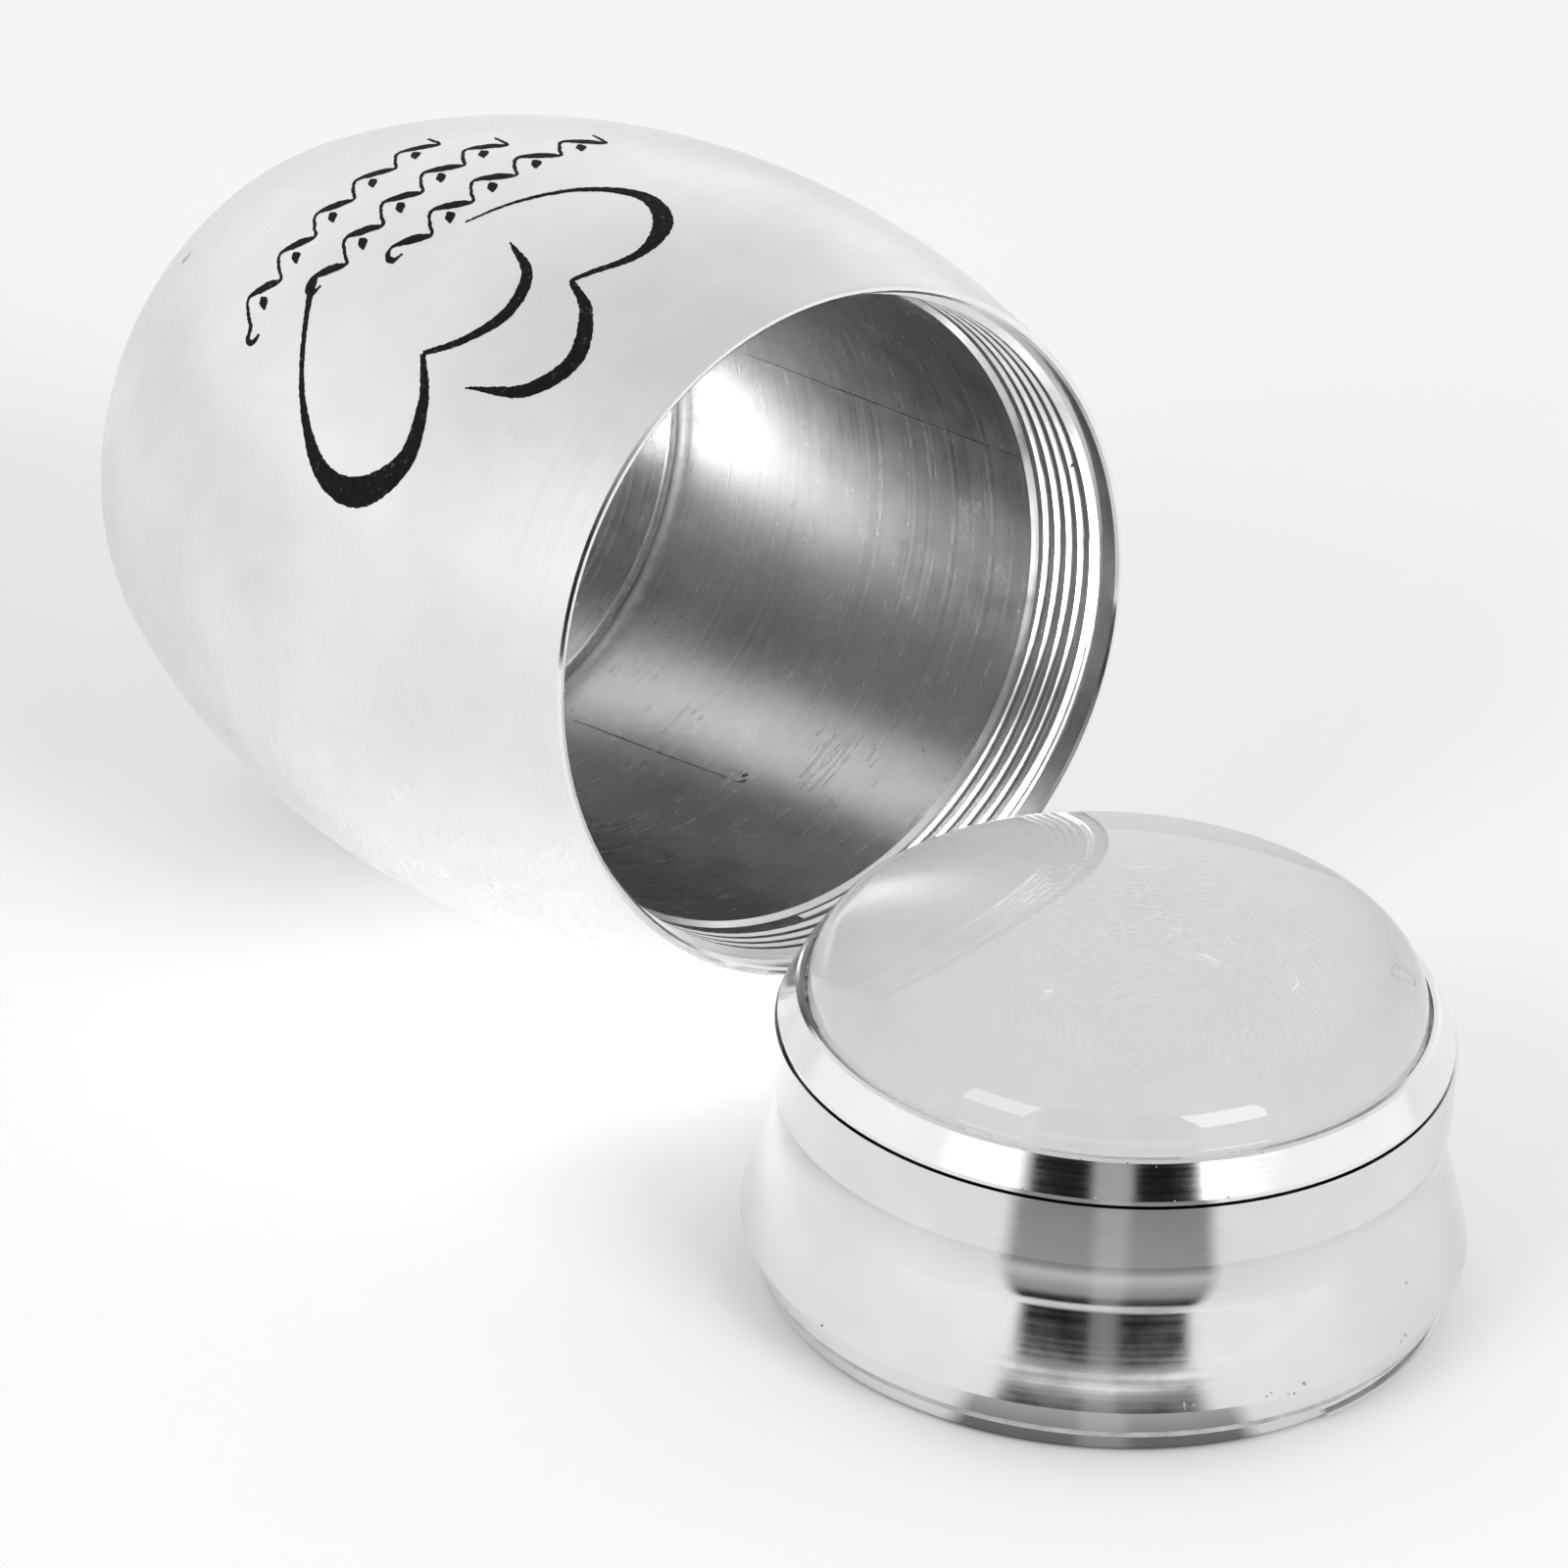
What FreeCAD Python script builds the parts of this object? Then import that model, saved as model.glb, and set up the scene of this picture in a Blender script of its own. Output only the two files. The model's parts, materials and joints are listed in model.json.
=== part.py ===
import FreeCAD, Part
import math
import os

# Small keepsake urn in turned aluminium, opened: the barrel-shaped body lies on its side and its
# screw lid, with a clear glass dome set in a polished bezel, stands upright in front of the mouth.
# Millimetres. +Z is up, z = 0 is the surface that both stand on, +X points out of the mouth,
# and the origin is under the middle of the whole arrangement.

V = FreeCAD.Vector

# ---- driving dimensions ----
BODY_LENGTH = 48.0           # flat base to rim
BODY_GIRTH_R = 22.5          # widest radius
GIRTH_HEIGHT = 26.8          # height of the widest place above the flat base
BARREL_ARC_R = 68.0          # radius of the barrel's long curve
BASE_EDGE_R = 3.5            # rounding between the barrel and the flat base
RIM_CHAMFER = 0.15
BORE_R = 17.95
BORE_DEPTH = 40.0
BORE_CORNER_R = 0.6

THREAD_PITCH = 1.0
PILOT_R = 18.68              # plain lead-in at the mouth
PILOT_DEPTH = 1.55
FEMALE_CREST_R = 18.25
FEMALE_ROOT_R = 18.55
FEMALE_DEPTH = 6.3
MALE_CORE_R = 18.12
MALE_CREST_R = 18.42
GROOVE_HALF = (0.38, 0.14)   # half widths of the female groove at its mouth and floor
RIDGE_HALF = (0.24, 0.08)    # half widths of the male ridge at its foot and tip
RIDGE_END_GAP = 0.03
THREAD_OVERLAP = 0.15        # how far a thread tool reaches past the surface it starts from

LID_R = 19.25                # edge of the skirt, and of the rim it closes on
SKIRT_Z = 2.95               # underside of the skirt above the end of the plug
SKIRT_MIDDLE = (18.55, 5.45) # radius and height on the slightly convex skirt
SKIRT_TOP = (17.72, 7.95)
COVE_MIDDLE = (17.5, 9.25)   # the waist, deepest place of the cove
BAND_R = 17.85
BAND_Z = (10.8, 14.3)
LID_WEB = 2.0                # plate under the dome
LID_BORE_R = 15.8            # hollow inside the lid

BEZEL_FOOT_R = 17.72
BEZEL_LIP_R = 16.72
BEZEL_Z = (14.42, 16.5)
BEZEL_LIP_W = 0.3
BEZEL_LIP_BEVEL = 0.12
BEZEL_FOOT_EDGE = 0.25       # short upright edge below the cone
BEZEL_SPIGOT_R = 16.9
BEZEL_SPIGOT_LEN = 1.2

DOME_R = 16.2
DOME_EDGE_Z = 16.45          # top of the dome's straight edge
DOME_RISE = 5.55
DOME_SHOULDER_R = 3.0        # small arc between the straight edge and the crown
DOME_SEAT_Z = 13.9
FILM_T = 0.1
FILM_EDGE = 0.15             # how far the film stops short of the dome's edge
VOID_R = 1.1
VOID_AT_R = 14.6             # the void's distance from the lid's axis
VOID_ANGLE = 61.0            # degrees from +X

LAND_R = 18.56               # plain land that fits the pilot in the mouth
PLUG_FLOOR = 1.2
PLUG_CHAMFER = 0.15
PLUG_SLEEVE_R = 14.3
PLUG_SLEEVE_TOP = 6.0
NECK_R = 17.85
NECK_Z = (0.96, 1.38)        # from the thread's end to the land
SEAL_INNER_R = 17.9
SEAL_R = 18.42
SEAL_Z = (0.98, 1.32)

BASE_DISC_R = 17.3
BASE_DISC_T = 0.8
BASE_DISC_CHAMFER = 0.2

BODY_TILT = 9.0              # the mouth's rise when the body rests on its girth, degrees
LID_GAP = 24.7               # rim centre to the lid's axis along X
LID_SIDE = -0.8              # the lid's axis beside the body's, along Y


def line(a, b):
    return Part.LineSegment(V(a[0], 0, a[1]), V(b[0], 0, b[1])).toShape()


def arc(a, middle, b):
    return Part.Arc(V(a[0], 0, a[1]), V(middle[0], 0, middle[1]), V(b[0], 0, b[1])).toShape()


def turned(edges):
    """Solid turned about Z from edges that close an outline in the XZ half-plane."""
    face = Part.Face(Part.Wire(edges))
    return face.revolve(V(0, 0, 0), V(0, 0, 1), 360)


def turned_outline(points):
    """Solid turned about Z from straight edges through (radius, height) points."""
    return turned([line(a, b) for a, b in zip(points, points[1:] + points[:1])])


def helical_ridge(root_r, crest_r, half_widths, start_z, length):
    """Right-hand thread ridge from root_r to crest_r, with its half widths at those radii."""
    root_half, crest_half = half_widths
    helix = Part.makeHelix(THREAD_PITCH, length, root_r)
    points = [V(root_r, 0, -root_half), V(crest_r, 0, -crest_half),
              V(crest_r, 0, crest_half), V(root_r, 0, root_half)]
    profile = Part.makePolygon(points + points[:1])
    ridge = Part.Wire(helix.Edges).makePipeShell([profile], True, True)
    ridge.translate(V(0, 0, start_z))
    return ridge


def barrel_r(height):
    """Outer radius of the barrel at a height above the flat base."""
    centre_r = BODY_GIRTH_R - BARREL_ARC_R
    return centre_r + math.sqrt(BARREL_ARC_R ** 2 - (height - GIRTH_HEIGHT) ** 2)


def base_edge():
    """Centre of the base's rounded edge and the point where it meets the barrel's curve."""
    centre_r = BODY_GIRTH_R - BARREL_ARC_R
    reach = BARREL_ARC_R - BASE_EDGE_R
    round_r = centre_r + math.sqrt(reach ** 2 - (GIRTH_HEIGHT - BASE_EDGE_R) ** 2)
    k = BARREL_ARC_R / reach
    meet = (centre_r + (round_r - centre_r) * k, GIRTH_HEIGHT + (BASE_EDGE_R - GIRTH_HEIGHT) * k)
    return round_r, meet


def urn_body():
    """Barrel turned from bar, with a flat base, a bored inside and a threaded mouth."""
    round_r, meet = base_edge()
    foot = (round_r, 0.0)
    turn = math.atan2(meet[1] - BASE_EDGE_R, meet[0] - round_r)
    half = (turn - math.pi / 2) / 2
    mid = (round_r + BASE_EDGE_R * math.cos(half), BASE_EDGE_R + BASE_EDGE_R * math.sin(half))
    rim_z = BODY_LENGTH - RIM_CHAMFER
    rim = (barrel_r(rim_z), rim_z)
    rim_top = (barrel_r(rim_z) - RIM_CHAMFER, BODY_LENGTH)
    outside = [line((0, 0), foot), arc(foot, mid, meet),
               arc(meet, (BODY_GIRTH_R, GIRTH_HEIGHT), rim), line(rim, rim_top)]
    thread_top = BODY_LENGTH - PILOT_DEPTH
    thread_end = BODY_LENGTH - FEMALE_DEPTH
    floor_z = BODY_LENGTH - BORE_DEPTH
    step = FEMALE_CREST_R - BORE_R
    inside = [rim_top, (PILOT_R + RIM_CHAMFER, BODY_LENGTH), (PILOT_R, BODY_LENGTH - RIM_CHAMFER),
              (PILOT_R, thread_top), (FEMALE_CREST_R, thread_top - (PILOT_R - FEMALE_CREST_R) / 2),
              (FEMALE_CREST_R, thread_end), (BORE_R, thread_end - step),
              (BORE_R, floor_z + BORE_CORNER_R)]
    corner_mid = (BORE_R - BORE_CORNER_R * (1 - math.sqrt(0.5)),
                  floor_z + BORE_CORNER_R * (1 - math.sqrt(0.5)))
    corner = arc(inside[-1], corner_mid, (BORE_R - BORE_CORNER_R, floor_z))
    closing = [corner, line((BORE_R - BORE_CORNER_R, floor_z), (0, floor_z)),
               line((0, floor_z), (0, 0))]
    body = turned(outside + [line(a, b) for a, b in zip(inside, inside[1:])] + closing)
    groove_end = thread_end + THREAD_PITCH / 2
    groove = helical_ridge(FEMALE_CREST_R - THREAD_OVERLAP, FEMALE_ROOT_R, GROOVE_HALF,
                           groove_end, thread_top - groove_end)
    return body.cut(groove)


def base_disc():
    """Disc that lies on the bottom of the bore, with a narrow gap around it."""
    floor_z = BODY_LENGTH - BORE_DEPTH
    top = floor_z + BASE_DISC_T
    return turned_outline([(0, floor_z), (BASE_DISC_R, floor_z),
                           (BASE_DISC_R, top - BASE_DISC_CHAMFER),
                           (BASE_DISC_R - BASE_DISC_CHAMFER, top), (0, top)])


def lid_shell():
    """Satin cap: a flared skirt, a cove below the plain band, and a plate under the dome."""
    skirt_foot = (LID_R, SKIRT_Z)
    band_foot = (BAND_R, BAND_Z[0])
    band_top = (BAND_R, BAND_Z[1])
    seat_z = BEZEL_Z[0] - BEZEL_SPIGOT_LEN
    under_z = seat_z - LID_WEB
    inside = [band_top, (BEZEL_SPIGOT_R, BAND_Z[1]), (BEZEL_SPIGOT_R, seat_z), (0, seat_z)]
    hollow = [(0, under_z), (LID_BORE_R, under_z), (LID_BORE_R, SKIRT_Z), skirt_foot]
    edges = [arc(skirt_foot, SKIRT_MIDDLE, SKIRT_TOP), arc(SKIRT_TOP, COVE_MIDDLE, band_foot),
             line(band_foot, band_top)]
    edges += [line(a, b) for a, b in zip(inside, inside[1:])]
    edges += [line(inside[-1], hollow[0])]
    edges += [line(a, b) for a, b in zip(hollow, hollow[1:])]
    return turned(edges)


def bezel_ring():
    """Polished cone that holds the dome, with a spigot pressed into the cap."""
    foot_z, lip_z = BEZEL_Z
    inner = BEZEL_LIP_R - BEZEL_LIP_W
    outline = [(inner, foot_z - BEZEL_SPIGOT_LEN), (BEZEL_SPIGOT_R, foot_z - BEZEL_SPIGOT_LEN),
               (BEZEL_SPIGOT_R, foot_z), (BEZEL_FOOT_R, foot_z),
               (BEZEL_FOOT_R, foot_z + BEZEL_FOOT_EDGE),
               (BEZEL_LIP_R + BEZEL_LIP_BEVEL, lip_z - BEZEL_LIP_BEVEL),
               (BEZEL_LIP_R - BEZEL_LIP_BEVEL / 2, lip_z), (inner, lip_z)]
    return turned_outline(outline)


def glass_dome():
    """Clear cabochon: a shallow crown, a rounded shoulder and a short straight edge."""
    top = DOME_EDGE_Z + DOME_RISE
    shoulder_at = DOME_R - DOME_SHOULDER_R
    crown_r = ((DOME_R ** 2 + DOME_RISE ** 2 - 2 * DOME_R * DOME_SHOULDER_R)
               / (2 * (DOME_RISE - DOME_SHOULDER_R)))
    turn = math.asin(shoulder_at / (crown_r - DOME_SHOULDER_R))

    def on_shoulder(angle):
        return (shoulder_at + DOME_SHOULDER_R * math.sin(angle),
                DOME_EDGE_Z + DOME_SHOULDER_R * math.cos(angle))

    meet = on_shoulder(turn)
    crown_middle = (crown_r * math.sin(turn / 2), top - crown_r * (1 - math.cos(turn / 2)))
    edge_foot = (DOME_R, DOME_SEAT_Z)
    edge_top = (DOME_R, DOME_EDGE_Z)
    shoulder_middle = on_shoulder((turn + math.pi / 2) / 2)
    return turned([line((0, DOME_SEAT_Z), edge_foot), line(edge_foot, edge_top),
                   arc(edge_top, shoulder_middle, meet), arc(meet, crown_middle, (0, top)),
                   line((0, top), (0, DOME_SEAT_Z))])


def adhesive_film():
    """Clear adhesive between the dome and its backing, with one void near the edge."""
    foot = DOME_SEAT_Z - FILM_T
    angle = math.radians(VOID_ANGLE)
    void_at = V(VOID_AT_R * math.cos(angle), VOID_AT_R * math.sin(angle), foot)
    film = Part.makeCylinder(DOME_R - FILM_EDGE, FILM_T, V(0, 0, foot))
    return film.cut(Part.makeCylinder(VOID_R, FILM_T, void_at))


def backing_disc():
    """Pale disc seen through the dome."""
    foot = BEZEL_Z[0] - BEZEL_SPIGOT_LEN
    return Part.makeCylinder(DOME_R, DOME_SEAT_Z - FILM_T - foot, V(0, 0, foot))


def thread_plug():
    """Closed plug: a sleeve pressed into the cap, a polished land, a neck and a short thread."""
    neck_foot, neck_top = NECK_Z
    outline = [(0, 0), (MALE_CORE_R - PLUG_CHAMFER, 0), (MALE_CORE_R, PLUG_CHAMFER),
               (MALE_CORE_R, neck_foot), (NECK_R, neck_foot), (NECK_R, neck_top),
               (LAND_R, neck_top), (LAND_R, SKIRT_Z),
               (LID_BORE_R, SKIRT_Z), (LID_BORE_R, PLUG_SLEEVE_TOP),
               (PLUG_SLEEVE_R, PLUG_SLEEVE_TOP), (PLUG_SLEEVE_R, PLUG_FLOOR), (0, PLUG_FLOOR)]
    plug = turned_outline(outline)
    ridge_start = RIDGE_HALF[0] + RIDGE_END_GAP
    ridge = helical_ridge(MALE_CORE_R - THREAD_OVERLAP, MALE_CREST_R, RIDGE_HALF,
                          ridge_start, neck_foot - 2 * ridge_start)
    return plug.fuse(ridge).removeSplitter()


def seal_ring():
    """Flat seal in the plug's neck."""
    height = SEAL_Z[1] - SEAL_Z[0]
    outer = Part.makeCylinder(SEAL_R, height, V(0, 0, SEAL_Z[0]))
    return outer.cut(Part.makeCylinder(SEAL_INNER_R, height, V(0, 0, SEAL_Z[0])))


def resting_height():
    """Height of the base's centre when the tilted barrel touches the floor with its long curve."""
    tilt = math.radians(BODY_TILT)
    centre_drop = (BARREL_ARC_R - BODY_GIRTH_R) * math.cos(tilt)
    return BARREL_ARC_R - centre_drop - GIRTH_HEIGHT * math.sin(tilt)


def layout():
    """Base centre of the lying body and foot of the lid's axis, centred about x = 0."""
    tilt = math.radians(BODY_TILT)
    round_r, _ = base_edge()
    back = BASE_EDGE_R * math.cos(tilt) - round_r * math.sin(tilt) - BASE_EDGE_R
    lid_ahead = BODY_LENGTH * math.cos(tilt) + LID_GAP
    shift = -(back + lid_ahead + LID_R) / 2
    return V(shift, 0, resting_height()), V(shift + lid_ahead, LID_SIDE, 0)


def lay_down(shape, base_centre):
    """Turn a solid made with its mouth up so that it lies with the mouth towards +X."""
    shape.rotate(V(0, 0, 0), V(0, 1, 0), 90 - BODY_TILT)
    shape.translate(base_centre)
    return shape


def main():
    base_centre, lid_foot = layout()
    lying = {"urn_body": urn_body(), "base_disc": base_disc()}
    standing = {
        "lid_shell": lid_shell(),
        "bezel_ring": bezel_ring(),
        "glass_dome": glass_dome(),
        "adhesive_film": adhesive_film(),
        "backing_disc": backing_disc(),
        "thread_plug": thread_plug(),
        "seal_ring": seal_ring(),
    }
    os.makedirs("parts", exist_ok=True)
    nodes = {name: lay_down(shape, base_centre) for name, shape in lying.items()}
    for name, shape in standing.items():
        shape.translate(lid_foot)
        nodes[name] = shape
    for name, shape in nodes.items():
        shape.exportStep("parts/" + name + ".step")
        print(name, "solids", len(shape.Solids), "valid", shape.isValid(), "mm3", round(shape.Volume, 2))
    print("base centre", base_centre, "lid foot", lid_foot)


main()
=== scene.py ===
import bpy
import json
import math
import random
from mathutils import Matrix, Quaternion, Vector
from mathutils.bvhtree import BVHTree
from mathutils.geometry import tessellate_polygon


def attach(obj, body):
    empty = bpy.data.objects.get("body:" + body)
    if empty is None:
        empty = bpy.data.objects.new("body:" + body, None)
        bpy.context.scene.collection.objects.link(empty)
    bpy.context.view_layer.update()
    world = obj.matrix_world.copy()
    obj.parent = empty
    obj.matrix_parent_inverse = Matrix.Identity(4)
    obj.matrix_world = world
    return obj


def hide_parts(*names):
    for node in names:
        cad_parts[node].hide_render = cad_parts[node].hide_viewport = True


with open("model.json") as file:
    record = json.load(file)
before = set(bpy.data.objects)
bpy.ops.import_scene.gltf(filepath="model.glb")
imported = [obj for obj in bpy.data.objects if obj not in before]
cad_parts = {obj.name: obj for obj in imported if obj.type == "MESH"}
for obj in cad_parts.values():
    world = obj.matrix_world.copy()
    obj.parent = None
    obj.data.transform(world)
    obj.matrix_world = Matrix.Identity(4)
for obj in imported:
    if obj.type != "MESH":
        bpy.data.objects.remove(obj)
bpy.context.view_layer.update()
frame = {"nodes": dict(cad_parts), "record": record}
nodes = frame["nodes"]
record = frame["record"]
scene = bpy.context.scene
MM = 0.001

# ---- places taken from the frame ----
BASE_MOUNT = next(m for m in record["mounts"] if m["name"] == "body_base")
BASE = Vector(BASE_MOUNT["pos_m"])
URN_AXIS = -Vector(BASE_MOUNT["axis"]).normalized()
URN_UP = (Vector((0, 0, 1)) - URN_AXIS * URN_AXIS.z).normalized()
URN_SIDE = URN_AXIS.cross(URN_UP).normalized()
LID_TURN = next(j for j in record["behaviour"]["joints"] if j["name"] == "lid_turn")
LID = Vector(LID_TURN["pos_m"])
LID_AXIS = Vector((0, 0, 1))

# ---- camera: the photograph's side, height and long lens ----
CAMERA_POS = Vector((302.63, -244.76, 231.39)) * MM
CAMERA_AZIMUTH = 51.22
CAMERA_ELEVATION = 28.99
CAMERA_ROLL = 2.68
CAMERA_LENS = 187.5

# ---- regions of the turned body, in mm above its flat base ----
THREAD_FROM = 41.5
PILOT_FROM = 46.2
RIM_FROM = 47.8
BORE_FLOOR_TO = 8.7
CLOSED_END_TO = 4.0          # below this there is no inside
INSIDE_R = 18.75             # any face nearer the axis than this is inside
INWARD = -0.2                # a face turned towards the axis by more than this is inside

# ---- engraving: strokes as (round the barrel, above the base, half width), mm ----
GIRTH_R = 22.5
INK_LIFT = 0.03
INK_DEPTH = 0.06
INK_STEP = 0.16
INK_RAGGED = 0.035
STRIP_CORE = 0.35            # share of the half width where a strip's flat top is split
STRIP_SEED = 7
HEARTS = [
    [(15.5, 20.1, .30), (18.4, 22.2, .17), (22.2, 25.2, .22), (25.3, 28.9, .55), (25.5, 32.4, .86),
     (23.0, 34.8, .62), (19.7, 34.2, .34), (17.3, 32.3, .16)],
    [(17.3, 32.3, .16), (15.7, 34.3, .26), (13.2, 35.6, .40), (10.6, 34.6, .34), (9.2, 31.6, .06)],
    [(9.1, 27.4, .05), (6.3, 28.9, .12), (3.4, 31.3, .20), (1.9, 34.4, .40), (3.1, 37.5, .56),
     (6.1, 38.8, .30), (9.7, 37.3, .13)],
    [(9.7, 37.3, .14), (11.0, 39.8, .38), (13.9, 41.5, .52), (16.8, 40.1, .42), (18.1, 36.4, .05)],
]
VINES = [(-1.6, 12.2, 25.2), (2.0, 15.6, 20.9), (3.4, 19.4, 16.2)]   # from, to, height
VINE_WAVE = 3.1
VINE_SWING = 0.95
BUD = 0.75


def link(obj):
    scene.collection.objects.link(obj)
    return obj


def camera():
    data = bpy.data.cameras.new("camera")
    data.lens = CAMERA_LENS
    data.sensor_width = 36
    data.clip_start = 0.01
    data.clip_end = 50
    cam = link(bpy.data.objects.new("camera", data))
    a, e = math.radians(CAMERA_AZIMUTH), math.radians(CAMERA_ELEVATION)
    forward = Vector((-math.sin(a) * math.cos(e), math.cos(a) * math.cos(e), -math.sin(e)))
    cam.rotation_mode = "QUATERNION"
    roll = Quaternion((0, 0, 1), math.radians(CAMERA_ROLL))
    cam.rotation_quaternion = forward.to_track_quat("-Z", "Y") @ roll
    cam.location = CAMERA_POS
    scene.camera = cam


# ---- node helpers ----
class Nodes:
    """A node tree, with short calls for the nodes used here."""

    def __init__(self, nt):
        self.nt = nt

    def add(self, kind, **settings):
        node = self.nt.nodes.new(kind)
        for key, value in settings.items():
            setattr(node, key, value)
        return node

    def put(self, node, slot, value):
        socket = node.inputs[slot]
        if isinstance(value, bpy.types.NodeSocket):
            self.nt.links.new(value, socket)
        else:
            socket.default_value = value

    def math(self, operation, a, b=0.0):
        node = self.add("ShaderNodeMath", operation=operation)
        self.put(node, 0, a)
        self.put(node, 1, b)
        return node.outputs[0]

    def vector(self, operation, a, b=(0, 0, 0)):
        node = self.add("ShaderNodeVectorMath", operation=operation)
        self.put(node, 0, a)
        self.put(node, 1, b)
        return node.outputs["Value" if operation in ("DOT_PRODUCT", "LENGTH") else "Vector"]

    def noise(self, vector, scale, detail=2.0, rough=0.5):
        node = self.add("ShaderNodeTexNoise")
        self.put(node, "Vector", vector)
        self.put(node, "Scale", scale)
        self.put(node, "Detail", detail)
        self.put(node, "Roughness", rough)
        return node.outputs["Fac"]

    def lines(self, along, scale):
        """Noise that changes only along one coordinate."""
        node = self.add("ShaderNodeTexNoise", noise_dimensions="1D")
        self.put(node, "W", along)
        self.put(node, "Scale", scale)
        self.put(node, "Detail", 1.0)
        return node.outputs["Fac"]

    def ramp(self, value, *stops):
        """Greys at the given (position, grey) stops."""
        node = self.add("ShaderNodeValToRGB")
        self.put(node, 0, value)
        elements = node.color_ramp.elements
        while len(elements) < len(stops):
            elements.new(1.0)
        for element, (position, shade) in zip(elements, stops):
            element.position = position
            element.color = (shade, shade, shade, 1)
        return node.outputs["Color"]

    def span(self, value, low, high, to_low, to_high):
        node = self.add("ShaderNodeMapRange")
        for slot, number in enumerate((value, low, high, to_low, to_high)):
            self.put(node, slot, number)
        return node.outputs[0]

    def bump(self, height, distance, normal=None):
        node = self.add("ShaderNodeBump")
        self.put(node, "Height", height)
        self.put(node, "Distance", distance)
        self.put(node, "Strength", 1.0)
        if normal is not None:
            self.put(node, "Normal", normal)
        return node.outputs[0]

    def mix(self, kind, a, b, factor=1.0):
        node = self.add("ShaderNodeMix", data_type="RGBA", blend_type=kind)
        self.put(node, "Factor", factor)
        self.put(node, "A", a)
        self.put(node, "B", b)
        return node.outputs["Result"]


class Tree(Nodes):
    """A material's nodes."""

    def __init__(self, name):
        self.mat = bpy.data.materials.new(name)
        self.mat.use_nodes = True
        super().__init__(self.mat.node_tree)
        self.bsdf = self.nt.nodes["Principled BSDF"]
        self.place = self.add("ShaderNodeTexCoord").outputs["Object"]

    def turned(self, origin, axis):
        """Height along an axis, radius from it, and the direction round it, at each point."""
        offset = self.vector("SUBTRACT", self.place, tuple(origin))
        height = self.vector("DOT_PRODUCT", offset, tuple(axis))
        round_it = self.vector("CROSS_PRODUCT", tuple(axis), offset)
        radius = self.vector("LENGTH", round_it)
        return height, radius, self.vector("NORMALIZE", round_it)

    def blend(self, factor, first, second):
        """Shows a mix of two shaders."""
        node = self.add("ShaderNodeMixShader")
        self.put(node, 0, factor)
        self.nt.links.new(first, node.inputs[1])
        self.nt.links.new(second, node.inputs[2])
        self.nt.links.new(node.outputs[0], self.nt.nodes["Material Output"].inputs["Surface"])

    def clear(self):
        return self.add("ShaderNodeBsdfTransparent").outputs[0]


def metal(name, colour, rough, origin, axis, line_scale=0.0, line_depth=0.0, grain=0.0,
          smear=0.06, anisotropy=0.0, flat_end=False):
    """Turned aluminium: cloudy colour, uneven gloss, turning lines round the axis, a fine grain."""
    t = Tree(name)
    height, radius, direction = t.turned(origin, axis)
    clouds = t.noise(t.place, 90.0, 3.0, 0.6)
    low, high = colour
    shade = t.ramp(clouds, (0.30, low), (0.70, high))
    t.put(t.bsdf, "Metallic", 1.0)
    fine = t.noise(t.place, 2600.0, 2.0, 0.6)
    gloss = t.span(t.noise(t.place, 320.0, 4.0, 0.65), 0.3, 0.7, rough - smear, rough + smear)
    normal = None
    if grain:
        normal = t.bump(fine, grain * MM)
    if line_scale:
        lines = t.lines(radius if flat_end else height, line_scale)
        normal = t.bump(lines, line_depth * MM, normal)
        streaks = t.span(lines, 0.3, 0.7, -smear * 0.7, smear * 0.7)
        gloss = t.math("ADD", gloss, streaks)
    t.put(t.bsdf, "Base Color", shade)
    t.put(t.bsdf, "Roughness", gloss)
    if normal is not None:
        t.put(t.bsdf, "Normal", normal)
    if anisotropy:
        t.put(t.bsdf, "Anisotropic", anisotropy)
        t.put(t.bsdf, "Anisotropic Rotation", 0.25)
        t.put(t.bsdf, "Tangent", direction)
    return t


# ---- materials ----
def urn_materials():
    outside = metal("urn_satin_skin", (0.74, 0.84), 0.30, BASE, URN_AXIS, line_scale=3000.0,
                    line_depth=0.0004, grain=0.0006, smear=0.04)
    rim = metal("urn_rim_polish", (0.80, 0.90), 0.14, BASE, URN_AXIS, line_scale=3400.0,
                line_depth=0.0006, smear=0.03)
    thread = metal("urn_thread_cut", (0.66, 0.82), 0.22, BASE, URN_AXIS, line_scale=3400.0,
                   line_depth=0.0010, smear=0.05, anisotropy=0.35)
    # Painted shade: the bore's base colour is darker than the outside's, so the inside of the body
    # looks shaded.
    bore = metal("urn_bore_turned_painted_shade", (0.48, 0.56), 0.24, BASE, URN_AXIS, line_scale=2600.0,
                 line_depth=0.0006, smear=0.04, anisotropy=0.85)
    # Painted shade: the bore floor's base colour is darker still, deepest in the bore.
    floor_end = metal("urn_bore_floor_painted_shade", (0.34, 0.42), 0.26, BASE, URN_AXIS, line_scale=2600.0,
                      line_depth=0.0012, smear=0.05, anisotropy=0.5, flat_end=True)
    return [m.mat for m in (outside, rim, thread, bore, floor_end)]


def paint_urn():
    """Gives each face of the body its region's finish: skin, rim, thread, bore or bore floor; the
    bore's and the bore floor's finishes carry painted shade.
    """
    obj = nodes["urn_body"]
    obj.data.materials.clear()
    for material in urn_materials():
        obj.data.materials.append(material)
    outside, rim, thread, bore, floor_end = range(5)
    for face in obj.data.polygons:
        offset = face.center - BASE
        height = offset.dot(URN_AXIS) / MM
        outward = offset - URN_AXIS * offset.dot(URN_AXIS)
        facing = face.normal.dot(outward.normalized()) if outward.length > 0 else 0.0
        inside = facing < INWARD or outward.length < INSIDE_R * MM
        if height > RIM_FROM:
            face.material_index = rim
        elif not inside or height < CLOSED_END_TO:
            face.material_index = outside
        elif height > PILOT_FROM:
            face.material_index = rim
        elif height > THREAD_FROM:
            face.material_index = thread
        elif height > BORE_FLOOR_TO:
            face.material_index = bore
        else:
            face.material_index = floor_end


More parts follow.
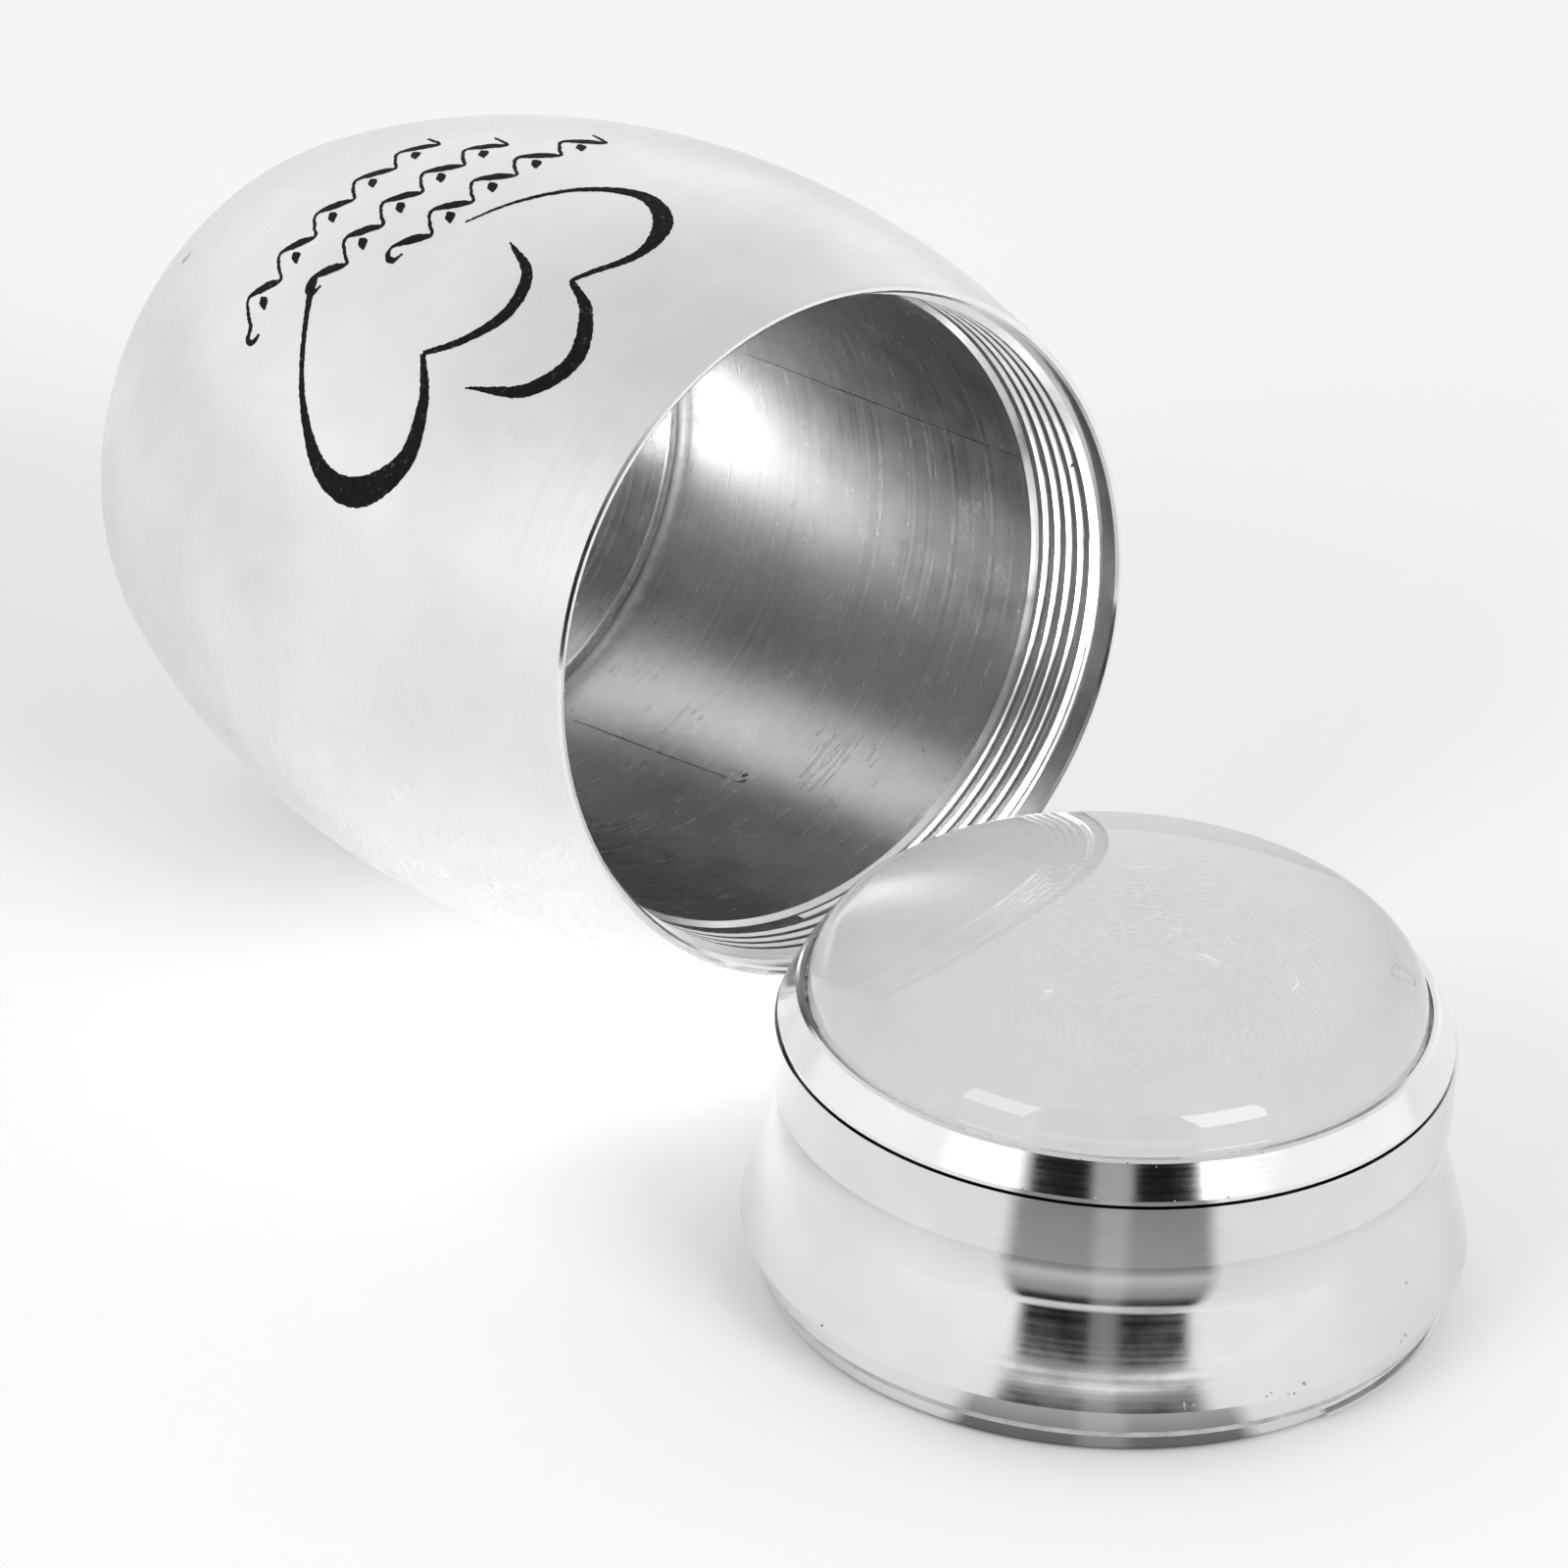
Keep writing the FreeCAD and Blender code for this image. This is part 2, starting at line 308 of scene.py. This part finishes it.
def glass():
    """Clear glass with a ridged thumb smudge and faint haze."""
    t = Tree("dome_glass_clear")
    t.put(t.bsdf, "Transmission Weight", 1.0)
    t.put(t.bsdf, "IOR", 1.5)
    t.put(t.bsdf, "Base Color", (0.985, 0.99, 0.99, 1))
    haze = t.span(t.noise(t.place, 160.0, 2.0), 0.35, 0.75, 0.0, 0.05)
    t.put(t.bsdf, "Roughness", haze)
    smudge = thumb_ridges(t)
    t.put(t.bsdf, "Normal", t.bump(smudge, 0.002 * MM))
    grease = t.add("ShaderNodeBsdfDiffuse")
    t.put(grease, "Color", t.ramp(t.noise(t.place, 1500.0, 2.0), (0.3, 0.42), (0.7, 0.66)))
    marked = t.add("ShaderNodeMixShader")
    t.put(marked, 0, t.math("MULTIPLY", smudge, SMUDGE_COVER))
    t.nt.links.new(t.bsdf.outputs[0], marked.inputs[1])
    t.nt.links.new(grease.outputs[0], marked.inputs[2])
    lit_through(t, marked.outputs[0])
    return t.mat


SMUDGE_AT = (4.2, -0.6)      # mm along X and Y from the lid's axis
SMUDGE_REACH = (5.0, 10.5)
SMUDGE_CORE = (10.0, -6.0, 0.0)
SMUDGE_COVER = 0.34
RIDGE_SCALE = 620.0


def thumb_ridges(t):
    """Broken, curved ridges of grease that fade out round a thumb's width."""
    top = LID + Vector((*SMUDGE_AT, 21.0)) * MM
    core = LID + Vector((*SMUDGE_CORE[:2], 21.0)) * MM
    wave = t.add("ShaderNodeTexWave", wave_type="RINGS", rings_direction="Z")
    t.put(wave, "Vector", t.vector("SUBTRACT", t.place, tuple(core)))
    t.put(wave, "Scale", RIDGE_SCALE)
    t.put(wave, "Distortion", 2.2)
    t.put(wave, "Detail", 1.0)
    t.put(wave, "Detail Scale", 0.35)
    ridges = t.ramp(wave.outputs["Fac"], (0.45, 0.0), (0.75, 1.0))
    broken = t.ramp(t.noise(t.place, 1500.0, 2.0), (0.36, 0.0), (0.56, 1.0))
    patchy = t.ramp(t.noise(t.place, 260.0, 2.0), (0.35, 0.15), (0.60, 1.0))
    reach = t.vector("LENGTH", t.vector("SUBTRACT", t.place, tuple(top)))
    near = t.span(reach, SMUDGE_REACH[0] * MM, SMUDGE_REACH[1] * MM, 1.0, 0.0)
    return t.math("MULTIPLY", t.math("MULTIPLY", ridges, broken), t.math("MULTIPLY", patchy, near))


def lit_through(t, shader):
    """Lets diffuse and shadow rays through unbent, so that what lies under the glass is lit."""
    rays = t.add("ShaderNodeLightPath")
    straight = t.math("MAXIMUM", rays.outputs["Is Shadow Ray"], rays.outputs["Is Diffuse Ray"])
    t.blend(straight, shader, t.clear())


def bonded():
    """The dome's glued face: no air under it, so light goes straight on; a trace of haze shows."""
    t = Tree("dome_glued_face")
    haze = t.span(t.noise(t.place, 300.0, 3.0), 0.4, 0.8, 0.0, 0.03)
    t.put(t.bsdf, "Base Color", (0.9, 0.9, 0.9, 1))
    t.put(t.bsdf, "Roughness", t.span(t.noise(t.place, 700.0, 2.0), 0.3, 0.7, 0.3, 0.6))
    t.blend(haze, t.clear(), t.bsdf.outputs[0])
    return t.mat


def film():
    """Clear adhesive: a faint, uneven milky veil."""
    t = Tree("adhesive_clear")
    veil = t.span(t.noise(t.place, 240.0, 3.0), 0.3, 0.7, 0.02, 0.10)
    t.put(t.bsdf, "Base Color", t.ramp(t.noise(t.place, 900.0, 2.0), (0.3, 0.80), (0.7, 0.90)))
    t.put(t.bsdf, "Roughness", t.span(t.noise(t.place, 500.0, 2.0), 0.3, 0.7, 0.3, 0.5))
    t.blend(veil, t.clear(), t.bsdf.outputs[0])
    return t.mat


def glue_painted_shade():
    """Painted shade for the walls of the adhesive's void and rim, where light is caught and the
    glue looks dark, and for the bead in the dome's gap.
    """
    t = Tree("adhesive_edge_painted_shade")
    patchy = t.noise(t.place, 1100.0, 3.0)
    t.put(t.bsdf, "Base Color", t.ramp(patchy, (0.35, 0.05), (0.65, 0.35)))
    t.put(t.bsdf, "Roughness", t.span(patchy, 0.3, 0.7, 0.2, 0.5))
    return t.mat


def backing():
    t = Tree("backing_paper")
    clouds = t.noise(t.place, 120.0, 4.0, 0.6)
    fibres = t.noise(t.place, 1500.0, 3.0, 0.7)
    t.put(t.bsdf, "Base Color", t.ramp(clouds, (0.3, 0.70), (0.7, 0.76)))
    t.put(t.bsdf, "Roughness", t.span(fibres, 0.3, 0.7, 0.55, 0.75))
    t.put(t.bsdf, "Normal", t.bump(fibres, 0.004 * MM))
    return t.mat


def rubber():
    t = Tree("seal_rubber_grey")
    mottled = t.noise(t.place, 700.0, 4.0, 0.7)
    t.put(t.bsdf, "Base Color", t.ramp(mottled, (0.3, 0.36), (0.55, 0.50), (0.75, 0.60)))
    t.put(t.bsdf, "Roughness", t.span(mottled, 0.3, 0.7, 0.5, 0.7))
    t.put(t.bsdf, "Normal", t.bump(mottled, 0.02 * MM))
    return t.mat


def ink():
    """Laser-blackened, granular engraving."""
    t = Tree("engraving_black")
    grains = t.noise(t.place, 2600.0, 3.0, 0.7)
    t.put(t.bsdf, "Base Color", t.ramp(grains, (0.30, 0.003), (0.60, 0.010), (0.78, 0.12)))
    t.put(t.bsdf, "Roughness", t.span(grains, 0.3, 0.7, 0.55, 0.9))
    t.put(t.bsdf, "Specular IOR Level", 0.08)
    t.put(t.bsdf, "Normal", t.bump(grains, 0.03 * MM))
    return t.mat


def burr():
    """Dark, torn metal of a scratch or burr."""
    t = Tree("burr_dark")
    torn = t.noise(t.place, 2200.0, 3.0, 0.7)
    t.put(t.bsdf, "Metallic", 1.0)
    t.put(t.bsdf, "Base Color", t.ramp(torn, (0.3, 0.03), (0.7, 0.30)))
    t.put(t.bsdf, "Roughness", t.span(torn, 0.3, 0.7, 0.3, 0.7))
    return t.mat


def lint():
    t = Tree("lint_white")
    fibre = t.noise(t.place, 3000.0, 2.0, 0.6)
    t.put(t.bsdf, "Base Color", t.ramp(fibre, (0.3, 0.82), (0.7, 0.98)))
    t.put(t.bsdf, "Roughness", t.span(fibre, 0.3, 0.7, 0.5, 0.9))
    return t.mat


def dust():
    t = Tree("dust_grey")
    speck = t.noise(t.place, 1800.0, 2.0, 0.7)
    t.put(t.bsdf, "Base Color", t.ramp(speck, (0.38, 0.06), (0.55, 0.40), (0.70, 0.90)))
    t.put(t.bsdf, "Roughness", t.span(speck, 0.3, 0.7, 0.5, 0.9))
    return t.mat


def wear(node, material):
    nodes[node].data.materials.clear()
    nodes[node].data.materials.append(material)


def wear_where(node, material, where):
    """Gives some faces of a node another finish."""
    mesh = nodes[node].data
    mesh.materials.append(material)
    for face in mesh.polygons:
        if where(face):
            face.material_index = len(mesh.materials) - 1


def paint_lid():
    wear("lid_shell", metal("lid_satin_skin", (0.70, 0.79), 0.12, LID, LID_AXIS, line_scale=3000.0,
                            line_depth=0.0005, grain=0.0005, smear=0.04).mat)
    wear("bezel_ring", metal("bezel_mirror", (0.80, 0.87), 0.11, LID, LID_AXIS, line_scale=4200.0,
                             line_depth=0.0004, smear=0.025, anisotropy=0.3).mat)
    wear("thread_plug", metal("plug_mirror", (0.74, 0.84), 0.17, LID, LID_AXIS, line_scale=3400.0,
                              line_depth=0.0005, smear=0.04).mat)
    # Painted shade: the base disc's flat faces, deep in the bore, get a darkened copy of the turned
    # metal.
    wear("base_disc", metal("disc_turned_painted_shade", (0.34, 0.42), 0.24, BASE, URN_AXIS, line_scale=3000.0,
                            line_depth=0.0012, smear=0.05, anisotropy=0.5, flat_end=True).mat)
    # Painted highlight: the disc's edge faces get a bright copy of the same turned metal.
    wear_where("base_disc", metal("disc_edge_painted_highlight", (0.86, 0.92), 0.30, BASE, URN_AXIS,
                                  line_scale=3000.0, line_depth=0.0006).mat,
               lambda face: abs(face.normal.dot(URN_AXIS)) < 0.9)
    wear("glass_dome", glass())
    wear_where("glass_dome", bonded(), lambda face: face.normal.z < -0.9)
    wear("backing_disc", backing())
    wear("seal_ring", rubber())


# ---- engraving ----
CLEAR_ABOVE = 60.0           # mm, over the lid's top
CLEAR_BESIDE = 40.0          # mm, outside the lid's widest part


def smooth(points):
    """Points along a Catmull-Rom curve through (x, y, half width), about INK_STEP apart."""
    first = tuple(2 * a - b for a, b in zip(points[0], points[1]))
    last = tuple(2 * a - b for a, b in zip(points[-1], points[-2]))
    padded = [first] + points + [last]
    out = []
    for p0, p1, p2, p3 in zip(padded, padded[1:], padded[2:], padded[3:]):
        count = max(2, int(math.dist(p1[:2], p2[:2]) / INK_STEP))
        for k in range(count):
            s = k / count
            out.append(tuple(0.5 * (2 * b + (c - a) * s + (2 * a - 5 * b + 4 * c - d) * s * s
                                    + (3 * b - a - 3 * c + d) * s ** 3)
                             for a, b, c, d in zip(p0, p1, p2, p3)))
    return out + [points[-1]]


def skin_of(*names):
    """The surface of some CAD nodes, for laying small pieces on."""
    verts, faces = [], []
    for name in names:
        mesh = nodes[name].data
        faces += [[v + len(verts) for v in p.vertices] for p in mesh.polygons]
        verts += [v.co.copy() for v in mesh.vertices]
    return BVHTree.FromPolygons(verts, faces)


def barrel_place(skin):
    """(mm round the barrel, mm above the base, lift) on the outside of the body."""
    def place(x, y, lift):
        angle = x / GIRTH_R
        outward = URN_UP * math.cos(angle) + URN_SIDE * math.sin(angle)
        start = BASE + URN_AXIS * (y * MM) + outward * (2 * GIRTH_R * MM)
        return skin.ray_cast(start, -outward)[0] + outward * (lift * MM)
    return place


def bore_place(skin):
    """(mm round the bore, mm above the base, lift) on the inside of the body."""
    def place(x, y, lift):
        angle = x / BORE_R
        outward = URN_UP * math.cos(angle) + URN_SIDE * math.sin(angle)
        start = BASE + URN_AXIS * (y * MM)
        return skin.ray_cast(start, outward)[0] - outward * (lift * MM)
    return place


def dome_place(skin):
    """(mm along X, mm along Y from the lid's axis, lift) on top of the dome."""
    def place(x, y, lift):
        start = LID + Vector((x, y, CLEAR_ABOVE)) * MM
        return skin.ray_cast(start, Vector((0, 0, -1)))[0] + Vector((0, 0, lift * MM))
    return place


class Strips:
    """Collects thin closed strips that follow a surface."""

    def __init__(self, place, lift, depth, ragged):
        self.place, self.lift, self.depth, self.ragged = place, lift, depth, ragged
        self.verts = []
        self.faces = []
        self.rng = random.Random(STRIP_SEED)

    def stroke(self, points):
        line = smooth(points)
        rows = []
        for k, (x, y, half) in enumerate(line):
            ahead = line[min(k + 1, len(line) - 1)]
            behind = line[max(k - 1, 0)]
            dx, dy = ahead[0] - behind[0], ahead[1] - behind[1]
            size = math.hypot(dx, dy) or 1.0
            nx, ny = -dy / size, dx / size
            row = []
            for side, lift in ((-1, -self.depth), (-1, self.lift), (-STRIP_CORE, self.lift),
                               (STRIP_CORE, self.lift), (1, self.lift), (1, -self.depth)):
                edge = abs(side) == 1 and lift > 0
                rough = self.rng.uniform(-self.ragged, self.ragged) if edge else 0.0
                reach = side * max(half + rough, self.ragged / 2)
                row.append(len(self.verts))
                self.verts.append(self.place(x + nx * reach, y + ny * reach, lift))
            rows.append(row)
        for a, b in zip(rows, rows[1:]):
            for k in range(6):
                n = (k + 1) % 6
                self.faces.append((a[k], b[k], b[n], a[n]))
        self.faces.append(tuple(rows[0]))
        self.faces.append(tuple(reversed(rows[-1])))

    def vine(self, start, end, height):
        """A flowing stem, thick as it falls and thin as it climbs, with a bud in each hollow."""
        count = max(2, round((end - start) / VINE_WAVE * 2))
        step = (end - start) / count
        stem = [(start - 0.5, height - 0.9, .05)]
        for k in range(count + 1):
            top = k % 2 == 0
            x = start + k * step
            stem.append((x, height + (VINE_SWING if top else -VINE_SWING), .12))
            if k < count:
                stem.append((x + step * (0.42 if top else 0.58), height, .34 if top else .10))
        x, y = stem[-1][0], stem[-1][1]
        stem += [(x + .7, y + .35, .16), (x + .8, y + 1.0, .20), (x + .2, y + 1.2, .05)]
        self.stroke(stem)
        for k in range(1, count, 2):
            x = start + k * step
            self.stroke([(x - .25, height + BUD - .5, .06), (x - .05, height + BUD, .30),
                         (x + .35, height + BUD + .55, .05)])

    def finish(self, name, material, body):
        small_piece(name, self.verts, self.faces, material, body)


def small_piece(name, verts, faces, material, body):
    mesh = bpy.data.meshes.new(name)
    mesh.from_pydata(verts, [], faces)
    mesh.validate()
    obj = link(bpy.data.objects.new(name, mesh))
    obj.data.materials.append(material)
    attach(obj, body)
    return obj


def engrave(skin):
    tool = Strips(barrel_place(skin), INK_LIFT, INK_DEPTH, INK_RAGGED)
    for points in HEARTS:
        tool.stroke(points)
    for vine in VINES:
        tool.vine(*vine)
    tool.finish("engraving", ink(), "urn")


# ---- small marks: scratches in the bore, burrs across the thread, lint and dust ----
BORE_R = 17.95
SCRATCHES = [                # (mm round the bore, mm above the base, half width)
    [(-49.8, 12.3, .02), (-49.5, 20.0, .035), (-49.1, 27.9, .02)],
    [(-24.3, 16.1, .015), (-24.4, 30.0, .03), (-24.4, 41.4, .02)],
]
BURRS = [(-24.3, 42.5), (-24.2, 43.5), (-24.1, 44.5), (-24.0, 45.4), (-49.0, 27.6), (-48.6, 27.3)]
HAIRS = [
    [(5.8, .1, .03), (6.2, .45, .05), (6.8, .6, .03)],
    [(3.6, -8.2, .04), (3.8, -7.9, .05)],
    [(-3.2, 2.4, .02), (-2.6, 2.9, .03), (-2.4, 3.6, .02)],
    [(9.2, 3.9, .02), (9.7, 3.6, .035), (10.0, 3.0, .02)],
]
BEZEL_DUST = [(-64, 16.9), (-55, 17.7), (-46, 16.8), (-43, 17.7), (-38, 16.8), (-33, 16.9),
              (-30, 17.7), (-21, 17.7), (-14, 16.8)]     # (degrees round the lid, mm from its axis)
SKIRT_DUST = [(-27, 3.2, 3), (-26, 3.0, 5), (-14, 2.98, 2), (-9, 3.0, 4), (-7, 3.1, 2),
              (14, 2.99, 3), (17, 5.6, 1), (-88, 3.0, 2)]   # (degrees, height, how many specks)
DUST_SIZE = (0.05, 0.13)     # half of a speck, mm
DUST_UNEVEN = 0.45
DUST_SEED = 11


def mark_bore(skin):
    tool = Strips(bore_place(skin), 0.015, 0.03, 0.01)
    for points in SCRATCHES:
        tool.stroke(points)
    for x, y in BURRS:
        tool.stroke([(x - .12, y - .15, .05), (x, y, .13), (x + .18, y + .2, .04)])
    tool.finish("bore_scratches", burr(), "urn")


def mark_dome():
    tool = Strips(dome_place(skin_of("glass_dome")), 0.03, 0.02, 0.01)
    for points in HAIRS:
        tool.stroke(points)
    tool.finish("dome_lint", lint(), "lid")


def mark_lid():
    """Specks of dust on the bezel and the skirt, as small uneven octahedra."""
    skin = skin_of("bezel_ring", "lid_shell")
    rng = random.Random(DUST_SEED)
    places = []
    for angle, radius in BEZEL_DUST:
        a = math.radians(angle)
        start = LID + Vector((radius * math.cos(a), radius * math.sin(a), CLEAR_ABOVE)) * MM
        places.append(skin.ray_cast(start, Vector((0, 0, -1)))[0])
    for angle, height, count in SKIRT_DUST:
        for _ in range(count):
            a = math.radians(angle + rng.uniform(-1.2, 1.2))
            inward = -Vector((math.cos(a), math.sin(a), 0))
            start = LID + Vector((0, 0, (height + rng.uniform(0, .35)) * MM))
            start -= inward * (CLEAR_BESIDE * MM)
            places.append(skin.ray_cast(start, inward)[0])
    verts, faces = [], []
    for place in places:
        size = rng.uniform(*DUST_SIZE) * MM
        first = len(verts)
        for axis in ((1, 0, 0), (0, 1, 0), (-1, 0, 0), (0, -1, 0), (0, 0, 1), (0, 0, -1)):
            jitter = Vector([rng.uniform(-DUST_UNEVEN, DUST_UNEVEN) for _ in range(3)])
            verts.append(place + (Vector(axis) + jitter) * size)
        for a, b in ((0, 1), (1, 2), (2, 3), (3, 0)):
            faces.append((first + a, first + b, first + 4))
            faces.append((first + b, first + a, first + 5))
    small_piece("lid_dust", verts, faces, dust(), "lid")


BEAD_R = (16.22, 16.40)      # between the dome and the bezel's lip, mm
BEAD_Z = (15.85, 16.22)
BEAD_POINTS = 240
BEAD_SEED = 5


def gap_bead():
    """A dull filling in the narrow gap round the dome, with an uneven top, darkened with painted
    shade.
    """
    rng = random.Random(BEAD_SEED)
    middle = (BEAD_R[0] + BEAD_R[1]) / 2
    verts, faces = [], []
    for k in range(BEAD_POINTS):
        a = k * math.tau / BEAD_POINTS
        top = BEAD_Z[1] + 0.06 * math.sin(5 * a + 1) + rng.uniform(-0.05, 0.05)
        for r, z in ((BEAD_R[0], BEAD_Z[0]), (BEAD_R[0], top), (middle, top - 0.04),
                     (BEAD_R[1], top), (BEAD_R[1], BEAD_Z[0])):
            verts.append(LID + Vector((r * math.cos(a), r * math.sin(a), z)) * MM)
    for k in range(BEAD_POINTS):
        n = (k + 1) % BEAD_POINTS
        for j in range(5):
            i = (j + 1) % 5
            faces.append((5 * k + j, 5 * k + i, 5 * n + i, 5 * n + j))
    small_piece("dome_gap_bead_painted_shade", verts, faces, glue_painted_shade(), "lid")


ADHESIVE_R = 16.05
ADHESIVE_Z = (13.835, 13.870)
VOID_AT = (7.08, 12.77)
VOID_R = 1.1
EDGE_POINTS = 96
VOID_POINTS = 28
VOID_SEED = 3


def adhesive():
    """The adhesive with its air bubble, set a hair clear of the faces that it bonds."""
    rng = random.Random(VOID_SEED)
    outer = [(ADHESIVE_R * math.cos(k * math.tau / EDGE_POINTS),
              ADHESIVE_R * math.sin(k * math.tau / EDGE_POINTS)) for k in range(EDGE_POINTS)]
    hole = []
    for k in range(VOID_POINTS):
        a = -k * math.tau / VOID_POINTS
        r = VOID_R * (1 + 0.22 * math.sin(2 * a + 0.7) + rng.uniform(-0.06, 0.06))
        hole.append((VOID_AT[0] + r * math.cos(a), VOID_AT[1] + r * math.sin(a)))
    flat = [Vector((x, y, 0)) for x, y in outer + hole]
    caps = tessellate_polygon([flat[:EDGE_POINTS], flat[EDGE_POINTS:]])
    count = len(flat)
    verts = [LID + Vector((p.x, p.y, z)) * MM for z in ADHESIVE_Z for p in flat]
    faces = [tuple(reversed(f)) for f in caps] + [tuple(v + count for v in f) for f in caps]
    walls = len(faces)
    for first, size in ((0, EDGE_POINTS), (EDGE_POINTS, VOID_POINTS)):
        for k in range(size):
            a, b = first + k, first + (k + 1) % size
            faces.append((a, b, b + count, a + count))
    obj = small_piece("adhesive", verts, faces, film(), "lid")
    # Painted shade: the walls of the void and of the rim wear the dark material.
    obj.data.materials.append(glue_painted_shade())
    for k, face in enumerate(obj.data.polygons):
        face.material_index = 1 if k >= walls else 0
    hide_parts("adhesive_film")


# ---- studio ----
FLOOR_SIZE = 6.0
WORLD_STRENGTH = 1.13
SKY_FROM = -0.2              # sine of the elevation where the sky's greys start; they end overhead
SKY = ((0.0, 0.93), (0.35, 0.93), (0.60, 0.80), (1.0, 0.60))
SOFTBOXES = [                # name, place, size, watts
    ("key", (0.86, 0.06, 0.56), (0.44, 0.44), 3.0),
    ("fill", (0.12, -0.86, 0.55), (0.42, 0.42), 1.8),
]
BORE_LIT_AT = 0.030          # height in the bore that the light for it aims at
BORE_LIGHT = ((0.366, -0.114, -0.021), (0.16, 0.10), 4.4)   # place, size, watts
FLAG_AZIMUTH = 51.0
FLAG_BLACK = 0.008
FLAG_HIGH = (5.5, 8.0, 26.0, 30.5, 0.42)    # degrees either side, and the grey of the gap between
FLAG_LOW = (3.0, 5.5, 24.0, 28.0, 0.24)
FLAG_CHANGE = (8.0, 20.0)    # elevation over which the low shape turns into the high one
FLAG_TOP = (48.0, 56.0)      # elevation where the flags end
PAINTED_REFLECTION_REACH = 0.130           # m from the lid's axis, how far the painted reflection of the flags reaches
# Painted reflection: how dark the flags' reflection is painted onto the mirrored floor, at shares
# of that distance.
PAINTED_REFLECTION_COVER = ((0.15, 0.80), (0.19, 0.35), (0.24, 0.60), (0.31, 0.70), (0.42, 1.0), (0.85, 1.0),
              (1.0, 0.0))


def floor():
    half = FLOOR_SIZE / 2
    mesh = bpy.data.meshes.new("floor")
    mesh.from_pydata([(-half, -half, 0), (half, -half, 0), (half, half, 0), (-half, half, 0)], [],
                     [(0, 1, 2, 3)])
    obj = link(bpy.data.objects.new("floor", mesh))
    obj.location.z = -0.0002
    t = Tree("floor_paper_and_painted_reflection")
    t.put(t.bsdf, "Base Color", t.ramp(t.noise(t.place, 3.0, 2.0), (0.3, 0.95), (0.7, 0.97)))
    t.put(t.bsdf, "Roughness", 0.9)
    t.put(t.bsdf, "Specular IOR Level", 0.1)
    # Painted reflection: seen only in reflections, the floor turns near black in the flags'
    # directions near the lid.
    from_lid = t.vector("SUBTRACT", t.place, tuple(LID))
    reach = t.math("DIVIDE", t.vector("LENGTH", from_lid), PAINTED_REFLECTION_REACH)
    away = t.ramp(reach, *PAINTED_REFLECTION_COVER)
    dark = t.math("SUBTRACT", 1.0, flag_shade(t, from_lid, FLAG_LOW))
    mirrored = t.add("ShaderNodeLightPath").outputs["Is Glossy Ray"]
    painted_flag_reflection = t.add("ShaderNodeBsdfDiffuse")
    painted_flag_reflection.inputs["Color"].default_value = (0.02, 0.02, 0.02, 1)
    t.blend(t.math("MULTIPLY", mirrored, t.math("MULTIPLY", away, dark)), t.bsdf.outputs[0],
            painted_flag_reflection.outputs[0])
    obj.data.materials.append(t.mat)


def flag_shade(t, direction, edges):
    """How light the studio is in a direction: black at the two flags, grey between, else white."""
    a = math.radians(FLAG_AZIMUTH)
    front = t.vector("DOT_PRODUCT", direction, (math.sin(a), -math.cos(a), 0))
    beside = t.vector("DOT_PRODUCT", direction, (math.cos(a), math.sin(a), 0))
    angle = t.math("ABSOLUTE", t.math("ARCTAN2", beside, front))
    e0, e1, e2, e3 = (e / 180 for e in edges[:4])
    return t.ramp(t.math("DIVIDE", angle, math.pi), (0.0, edges[4]), (e0, edges[4]),
                  (e1, FLAG_BLACK), (e2, FLAG_BLACK), (e3, 1.0))


def studio_world():
    """White all round, with two black flags standing on the camera's side."""
    world = bpy.data.worlds.new("studio")
    scene.world = world
    world.use_nodes = True
    t = Nodes(world.node_tree)
    background = t.nt.nodes["Background"]
    direction = t.add("ShaderNodeTexCoord").outputs["Generated"]
    up = t.vector("DOT_PRODUCT", direction, (0, 0, 1))

    def above(low, high):
        s0, s1 = (math.sin(math.radians(e)) for e in (low, high))
        return t.span(up, s0, s1, 0.0, 1.0)

    changed = above(*FLAG_CHANGE)
    low, high = flag_shade(t, direction, FLAG_LOW), flag_shade(t, direction, FLAG_HIGH)
    flags = t.mix("MIX", low, high, changed)
    open_sky = t.ramp(t.span(up, SKY_FROM, 1.0, 0.0, 1.0), *SKY)
    past_top = above(*FLAG_TOP)
    shade = t.mix("MIX", t.mix("MULTIPLY", flags, open_sky), open_sky, past_top)
    t.nt.links.new(shade, background.inputs["Color"])
    background.inputs["Strength"].default_value = WORLD_STRENGTH


def softbox(name, position, target, size, power):
    data = bpy.data.lights.new(name, "AREA")
    data.shape = "RECTANGLE"
    data.size, data.size_y = size
    data.energy = power
    lamp = link(bpy.data.objects.new(name, data))
    lamp.location = position
    lamp.rotation_mode = "QUATERNION"
    lamp.rotation_quaternion = (Vector(target) - Vector(position)).to_track_quat("-Z", "Y")
    return lamp


def lights():
    for name, place, size, power in SOFTBOXES:
        softbox(name, place, LID, size, power)
    place, size, power = BORE_LIGHT
    lamp = softbox("bore_light", place, BASE + URN_AXIS * BORE_LIT_AT, size, power)
    body = bpy.data.collections.new("lit_body")
    for name in ("urn_body", "base_disc"):
        body.objects.link(nodes[name])
    lamp.light_linking.receiver_collection = body
    lamp.light_linking.blocker_collection = body


camera()
floor()
studio_world()
lights()
paint_urn()
paint_lid()
body_skin = skin_of("urn_body")
engrave(body_skin)
mark_bore(body_skin)
mark_dome()
mark_lid()
gap_bead()
adhesive()
scene.view_settings.view_transform = "Standard"
